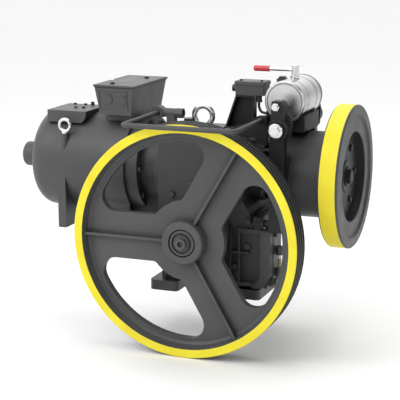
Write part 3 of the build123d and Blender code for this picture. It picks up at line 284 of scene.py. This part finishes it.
def paint_base(look, dusty=True, base=DARK_GREY):
    """Sprayed paint over a casting: mottled, dusty on top, with painted shade in corners, and rubbed wear
    with a painted highlight on edges.

    Gives the colour, the roughness and the normal.
    """
    mottle = look.span(look.noise(7.0, 4.0), 0.3, 0.7)
    fine = look.noise(420.0, 3.0, 0.6)
    shade = look.blend(mottle, shaded(base, 0.90), shaded(base, 1.10))
    rounded, edge = look.soft_edges()
    if dusty:
        upward = look.span(look.axes(look.facing)[2], 0.55, 1.0)
        patchy = look.span(look.noise(16.0, 5.0, 0.65), 0.40, 0.72)
        dust = look.maths("MULTIPLY", look.maths("MULTIPLY", upward, patchy), 0.34)
        shade = look.blend(dust, shade, DUST_GREY)
    # painted shade: the paint darkened, unevenly, deep in corners and between close parts
    painted_shade = look.maths("MULTIPLY", look.corner_shade(), look.span(look.noise(30.0, 4.0), 0.3, 0.7, 0.55, 0.80))
    shade = look.blend(painted_shade, shade, PAINTED_SHADE_DARK)
    # rubbed wear and a painted highlight: edges lighter in colour, unevenly
    rub_and_highlight = look.maths("MULTIPLY", edge, look.span(look.noise(55.0, 4.0), 0.42, 0.66, 0.10, 0.55))
    shade = look.blend(rub_and_highlight, shade, WORN_AND_HIGHLIGHT_GREY)
    roughness = look.span(look.noise(24.0, 4.0), 0.25, 0.75, 0.36, 0.50)
    waves = look.relief(look.noise(95.0, 3.0), 0.5, WAVE_DEPTH, rounded)
    normal = look.relief(fine, 0.55, GRAIN_DEPTH, waves)
    return shade, roughness, normal


def enamel(name, base):
    """Semi-gloss machine enamel."""
    look = Surface(name)
    return look.finish(*paint_base(look, base=base), gloss=PAINT_GLOSS)


def yellow_tone(look):
    """Safety yellow, slightly uneven in thickness."""
    return look.blend(look.span(look.noise(11.0, 4.0), 0.35, 0.75), YELLOW, YELLOW_DEEP)


def sheave_paint():
    """Dark grey with a yellow front face on the rim."""
    look = Surface("sheave_paint")
    grey, roughness, normal = paint_base(look, dusty=False)
    radius = look.radius_round(SHEAVE_CENTRE, 1)
    uneven = look.span(look.noise(60.0, 3.0), 0.0, 1.0, -0.0006, 0.0006)
    inner = SHEAVE_RADIUS - PAINT_RING_WIDTH
    outside = look.maths("GREATER_THAN", look.maths("ADD", radius, uneven), inner)
    in_front = look.maths("LESS_THAN", look.axes()[1], SHEAVE_FRONT_Y + PAINT_DEPTH)
    mask = look.maths("MULTIPLY", outside, in_front)
    return look.finish(look.blend(mask, grey, yellow_tone(look)), roughness, normal, gloss=PAINT_GLOSS)


def flywheel_paint():
    """Yellow round the rim, between dark corners, dark grey faces, and near black inside the face recess."""
    look = Surface("flywheel_paint")
    grey, roughness, normal = paint_base(look, dusty=False)
    radius = look.radius_round(FLYWHEEL_CENTRE, 0)
    across = look.axes()[0]
    uneven = look.span(look.noise(60.0, 3.0), 0.0, 1.0, -0.0005, 0.0005)
    edge = look.maths("ADD", across, uneven)
    mask = look.maths("GREATER_THAN", radius, FLYWHEEL_RADIUS - BAND_DEPTH)
    mask = look.maths("MULTIPLY", mask, look.maths("GREATER_THAN", edge, FLYWHEEL_LOW.x + BAND_INSET_LEFT))
    mask = look.maths("MULTIPLY", mask, look.maths("LESS_THAN", edge, FLYWHEEL_HIGH.x - BAND_INSET_RIGHT))
    # the face recess is coloured near black
    sunk = look.maths("LESS_THAN", across, FLYWHEEL_HIGH.x - RECESS_DEPTH)
    sunk = look.maths("MULTIPLY", sunk, look.maths("LESS_THAN", radius, RECESS_RADIUS))
    grey = look.blend(sunk, grey, BLACK_PAINT)
    return look.finish(look.blend(mask, grey, yellow_tone(look)), roughness, normal, gloss=PAINT_GLOSS)


def bare_metal(name, colour, roughness, grain=(1.0, 1.0, 1.0), scale=220.0, depth=0.00006, metal=1.0):
    """Machined or plated metal with fine grain, faint stains and softened corners, whose colour is lightened
    as a painted highlight.
    """
    look = Surface(name)
    rounded, edge = look.soft_edges(0.0008)
    stain = look.span(look.noise(38.0, 5.0, 0.6), 0.35, 0.75)
    tone = look.blend(stain, colour, shaded(colour, 0.78))
    streaks = look.noise(scale, 4.0, 0.6, look.stretched(*grain))
    # painted highlight: corners lighter in colour
    corner_highlight = tuple(min(1.0, part) for part in shaded(colour, 1.2))
    tone = look.blend(look.maths("MULTIPLY", edge, 0.5), tone, corner_highlight)
    rough = look.span(streaks, 0.2, 0.8, roughness * 0.75, roughness * 1.3)
    return look.finish(tone, rough, look.relief(streaks, 0.4, depth, rounded), metal)


def turned_silver():
    """Bright metal turned in a lathe: rings round the magnet's own axis."""
    look = Surface("magnet_silver")
    radius = look.radius_round(MAGNET_CENTRE, 1)
    rings = look.add("CombineXYZ")
    look.link(radius, rings.inputs["X"])
    look.link(look.axes()[1], rings.inputs["Y"])
    turning = look.noise(900.0, 3.0, 0.6, rings.outputs[0])
    smear = look.span(look.noise(26.0, 4.0), 0.3, 0.75)
    rounded, _ = look.soft_edges(0.001)
    tone = look.blend(smear, (0.66, 0.66, 0.67), (0.52, 0.52, 0.54))
    along = look.axes(look.moved(MAGNET_CENTRE))[1]
    from_middle = look.maths("ABSOLUTE", along)
    lines = look.near(from_middle, END_LINE_Y, END_LINE_REACH)
    at_face = look.maths("GREATER_THAN", from_middle, END_LINE_Y + FACE_BEYOND_LINE)
    face_ring = look.near(radius, FACE_RING_RADIUS, GROOVE_REACH)
    lines = look.maths("MAXIMUM", lines, look.maths("MULTIPLY", face_ring, at_face))
    for groove in GROOVES_Y:
        lines = look.maths("MAXIMUM", lines, look.near(along, groove, GROOVE_REACH))
    tone = look.blend(look.maths("MULTIPLY", lines, 0.85), tone, GROOVE_DARK)
    rough = look.span(turning, 0.25, 0.75, 0.22, 0.40)
    return look.finish(tone, rough, look.relief(turning, 0.35, 0.00005, rounded), 1.0)


def moulded(name, colour, roughness, depth=0.00008, coat=0.0):
    """Plastic or rubber with a fine moulded skin and slight scuffing."""
    look = Surface(name)
    rounded, _ = look.soft_edges(0.0008)
    scuff = look.span(look.noise(70.0, 5.0, 0.65), 0.52, 0.80)
    tone = look.blend(look.maths("MULTIPLY", scuff, 0.35), colour, tuple(c * 1.5 + 0.01 for c in colour))
    rough = look.span(look.noise(120.0, 3.0), 0.25, 0.75, roughness * 0.85, roughness * 1.15)
    return look.finish(tone, rough, look.relief(look.noise(700.0, 2.0), 0.4, depth, rounded), coat=coat)


def laminated_steel():
    """Stacked sheets, seen as fine lines along the stack."""
    look = Surface("laminations")
    parts = look.axes()
    sheets = look.maths("PINGPONG", parts[0], 0.0005)
    gap = look.span(sheets, 0.0, 0.0003)
    tone = look.blend(gap, (0.08, 0.08, 0.09), (0.34, 0.34, 0.36))
    return look.finish(tone, 0.45, look.relief(gap, 0.5, 0.0002), 1.0)


def wound_copper():
    """Varnished copper wire laid in turns."""
    look = Surface("copper")
    turns = look.noise(900.0, 2.0, 0.5, look.stretched(0.08, 1.0, 1.0))
    tone = look.blend(look.span(turns, 0.3, 0.7), (0.45, 0.16, 0.06), (0.72, 0.34, 0.15))
    return look.finish(tone, look.span(turns, 0.2, 0.8, 0.28, 0.45), look.relief(turns, 0.8, 0.0005), 0.85)


def oil_glass():
    """The gauge tube with amber oil behind clear glass."""
    look = Surface("sight_glass")
    height = look.axes()[2]
    low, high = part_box("oil_gauge_tube")
    level = low.z + 0.6 * (high.z - low.z)
    wet = look.maths("LESS_THAN", height, level)
    streak = look.span(look.noise(90.0, 3.0), 0.3, 0.7)
    oil = look.blend(streak, (0.30, 0.22, 0.11), (0.22, 0.16, 0.08))
    tone = look.blend(wet, (0.55, 0.56, 0.55), oil)
    return look.finish(tone, 0.08, look.relief(look.noise(300.0, 2.0), 0.1, 0.00005), coat=0.6)


def friction_lining():
    """Moulded lining with specks of fibre and brass."""
    look = Surface("lining")
    specks = look.span(look.noise(800.0, 2.0), 0.62, 0.70)
    base = look.blend(look.noise(60.0, 3.0), (0.10, 0.075, 0.06), (0.17, 0.13, 0.10))
    tone = look.blend(specks, base, (0.40, 0.30, 0.18))
    return look.finish(tone, 0.85, look.relief(look.noise(500.0, 3.0), 0.7, 0.0002))


def build_materials():
    """One material for each slot of the record."""
    return {
        "dark_paint": enamel("dark_paint", DARK_GREY),
        "black_paint": enamel("black_paint", BLACK_PAINT),
        "sheave_paint": sheave_paint(),
        "flywheel_paint": flywheel_paint(),
        "steel": bare_metal("steel", STEEL, 0.30, (0.1, 1.0, 1.0)),
        "zinc": bare_metal("zinc", ZINC, 0.17, scale=160.0, depth=0.00004),
        "magnet_silver": turned_silver(),
        "bronze": bare_metal("bronze", (0.62, 0.40, 0.17), 0.34),
        "iron": bare_metal("iron", (0.17, 0.17, 0.17), 0.62, depth=0.0003, metal=0.6),
        "copper": wound_copper(),
        "lining": friction_lining(),
        "black_plastic": moulded("black_plastic", BLACK, 0.45),
        "red_grip": moulded("red_grip", RED, 0.30, coat=0.35),
        "seal_rubber": moulded("seal_rubber", (0.022, 0.022, 0.023), 0.62),
        "sight_glass": oil_glass(),
        "black_steel": bare_metal("black_steel", (0.018, 0.018, 0.020), 0.50, metal=0.3),
        "laminations": laminated_steel(),
    }


def dress_frame(materials):
    """Gives every CAD node the material of its slot."""
    for subpart in frame["record"]["subparts"]:
        mesh = frame["nodes"][subpart["node"]].data
        mesh.materials.clear()
        mesh.materials.append(materials[subpart["material_slot"]])


# ---------------------------------------------------------------- pieces that ride
GASKET_INSET = 0.0021
GASKET_CORNER = 0.004
WELD_PITCH = 0.0042
WELD_RIPPLE = 0.10
WELD_SIDES = 10

# where the beads run on the brake support
PLATE_THICK = 0.010
WING_THICK = 0.016
WING_BEAD_FROM = 0.004
WING_BEAD_TO = 0.080
WING_BEAD_RADIUS = 0.0028
RIB_Y = 0.050
RIB_BEAD_Z = 0.452
RIB_BEAD_START_X = 0.153
RIB_BEAD_END_GAP = 0.040
RIB_BEAD_RADIUS = 0.0026


def piece_from(name, shape, body, slot):
    """A finished bmesh as a named piece that rides a body, in the material of a slot."""
    bmesh.ops.recalc_face_normals(shape, faces=shape.faces)
    mesh = bpy.data.meshes.new(name)
    shape.to_mesh(mesh)
    shape.free()
    piece = bpy.data.objects.new(name, mesh)
    bpy.context.scene.collection.objects.link(piece)
    mesh.materials.append(materials[slot])
    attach(piece, body)
    return piece


def corner_points(half_x, half_y, radius, steps=5):
    """The outline of a rectangle with round corners, about the origin."""
    points = []
    for quarter in range(4):
        side_x, side_y = ((1, 1), (-1, 1), (-1, -1), (1, -1))[quarter]
        for step in range(steps + 1):
            angle = math.pi / 2 * (quarter + step / steps)
            point_x = side_x * (half_x - radius) + radius * math.cos(angle)
            point_y = side_y * (half_y - radius) + radius * math.sin(angle)
            points.append((point_x, point_y))
    return points


def make_lid_gasket():
    """The rubber gasket between the terminal box and its lid, standing just proud of the wall."""
    lid_low, lid_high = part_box("terminal_box_lid")
    middle = (lid_low + lid_high) / 2
    half_x = (lid_high.x - lid_low.x) / 2 - GASKET_INSET
    half_y = (lid_high.y - lid_low.y) / 2 - GASKET_INSET
    # the section, as distances out from the wall and down from the lid
    bulge = (
        (0.0, -0.0002),
        (0.0008, -0.0008),
        (0.0008, -0.0020),
        (0.0, -0.0026),
        (-0.0018, -0.0020),
        (-0.0018, -0.0008),
    )
    shape = bmesh.new()
    loops = []
    for outset, drop in bulge:
        outline = corner_points(half_x + outset, half_y + outset, GASKET_CORNER + outset)
        loops.append([shape.verts.new((middle.x + x, middle.y + y, lid_low.z + drop)) for x, y in outline])
    for index, loop in enumerate(loops):
        following = loops[(index + 1) % len(loops)]
        for at in range(len(loop)):
            after = (at + 1) % len(loop)
            shape.faces.new((loop[at], loop[after], following[after], following[at]))
    piece_from("box_gasket", shape, "frame", "seal_rubber")


def make_weld(name, start, end, radius):
    """A weld bead from start to end: a rippled bar whose ends taper into the plates."""
    start, end = Vector(start), Vector(end)
    along = (end - start).normalized()
    across = along.orthogonal().normalized()
    other = along.cross(across)
    length = (end - start).length
    rings = int(length / WELD_PITCH) * 4
    shape = bmesh.new()
    loops = []
    for index in range(rings + 1):
        share = index / rings
        ripple = 1.0 + WELD_RIPPLE * math.sin(math.tau * share * length / WELD_PITCH)
        taper = math.sqrt(min(1.0, 12.0 * min(share, 1.0 - share) + 0.10))
        size = radius * ripple * taper
        centre = start + along * (length * share)
        loop = []
        for side in range(WELD_SIDES):
            angle = math.tau * side / WELD_SIDES
            loop.append(shape.verts.new(centre + size * (math.cos(angle) * across + math.sin(angle) * other)))
        loops.append(loop)
    for first, second in zip(loops, loops[1:]):
        for side in range(WELD_SIDES):
            after = (side + 1) % WELD_SIDES
            shape.faces.new((first[side], first[after], second[after], second[side]))
    shape.faces.new(loops[0])
    shape.faces.new(loops[-1])
    piece = piece_from(name, shape, "frame", "black_paint")
    for face in piece.data.polygons:
        face.use_smooth = True


def make_support_welds():
    """Beads along the wings and the ribs of the brake support."""
    low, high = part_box("brake_support")
    plate_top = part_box("gearbox_housing")[1].z + PLATE_THICK
    for number, side in enumerate((-1, 1)):
        seam_y = side * (high.y - WING_THICK)
        start = (low.x + WING_BEAD_FROM, seam_y, plate_top)
        end = (low.x + WING_BEAD_TO, seam_y, plate_top)
        make_weld(f"wing_weld_{number}", start, end, WING_BEAD_RADIUS)
    for number, rib_y in enumerate((-RIB_Y, RIB_Y)):
        start = (RIB_BEAD_START_X, rib_y, RIB_BEAD_Z)
        end = (high.x - RIB_BEAD_END_GAP, rib_y, RIB_BEAD_Z)
        make_weld(f"rib_weld_{number}", start, end, RIB_BEAD_RADIUS)


# ---------------------------------------------------------------- studio
def make_floor():
    """A wide pale floor just under the machine's lowest point."""
    look = Surface("floor")
    tone = look.blend(look.noise(3.0, 3.0), (0.94, 0.94, 0.94), (0.96, 0.96, 0.96))
    material = look.finish(tone, 0.9)
    shape = bmesh.new()
    bmesh.ops.create_circle(shape, cap_ends=True, segments=96, radius=FLOOR_RADIUS)
    mesh = bpy.data.meshes.new("floor")
    shape.to_mesh(mesh)
    shape.free()
    mesh.materials.append(material)
    floor = bpy.data.objects.new("floor", mesh)
    floor.location = (0.0, 0.0, cad_box[0][2] - FLOOR_GAP)
    bpy.context.scene.collection.objects.link(floor)


def add_light(name, place, aim, size, power):
    """A square soft light at place, aimed at a point."""
    lamp = bpy.data.lights.new(name, "AREA")
    lamp.size = size
    lamp.energy = power
    holder = bpy.data.objects.new(name, lamp)
    holder.location = place
    holder.rotation_euler = (Vector(aim) - Vector(place)).to_track_quat("-Z", "Y").to_euler()
    bpy.context.scene.collection.objects.link(holder)


def make_studio():
    """White surroundings that fall off to the right, a broad key from the front left, and weaker lights."""
    world = bpy.data.worlds.new("studio")
    world.use_nodes = True
    tree = world.node_tree
    background = tree.nodes["Background"]
    background.inputs["Color"].default_value = (1.0, 1.0, 1.0, 1.0)
    direction = tree.nodes.new("ShaderNodeTexCoord")
    parts = tree.nodes.new("ShaderNodeSeparateXYZ")
    fade = tree.nodes.new("ShaderNodeMapRange")
    fade.interpolation_type = "SMOOTHSTEP"
    fade.inputs["From Min"].default_value = SKY_FADE_FROM
    fade.inputs["From Max"].default_value = SKY_FADE_TO
    fade.inputs["To Min"].default_value = SKY_WHITE
    fade.inputs["To Max"].default_value = SKY_RIGHT
    tree.links.new(direction.outputs["Generated"], parts.inputs[0])
    tree.links.new(parts.outputs["X"], fade.inputs["Value"])
    tree.links.new(fade.outputs["Result"], background.inputs["Strength"])
    bpy.context.scene.world = world
    add_light("key", (-1.9, -2.6, 2.7), LIGHT_AIM, 2.0, 44.0)
    add_light("side", (3.0, -1.2, 1.6), LIGHT_AIM, 1.4, 8.0)
    add_light("top", (0.2, 0.6, 3.0), LIGHT_AIM, 2.2, 24.0)
    bpy.context.scene.view_settings.view_transform = "Standard"


def make_camera():
    """The camera, looking along its own azimuth and elevation."""
    lens = bpy.data.cameras.new("camera")
    lens.lens = LENS_MM
    lens.clip_end = 200.0
    holder = bpy.data.objects.new("camera", lens)
    holder.location = CAMERA_AT
    holder.rotation_euler = (math.pi / 2 - CAMERA_ELEVATION, 0.0, CAMERA_AZIMUTH)
    bpy.context.scene.collection.objects.link(holder)
    bpy.context.scene.camera = holder


materials = build_materials()
dress_frame(materials)
make_lid_gasket()
make_support_welds()
make_floor()
make_studio()
make_camera()
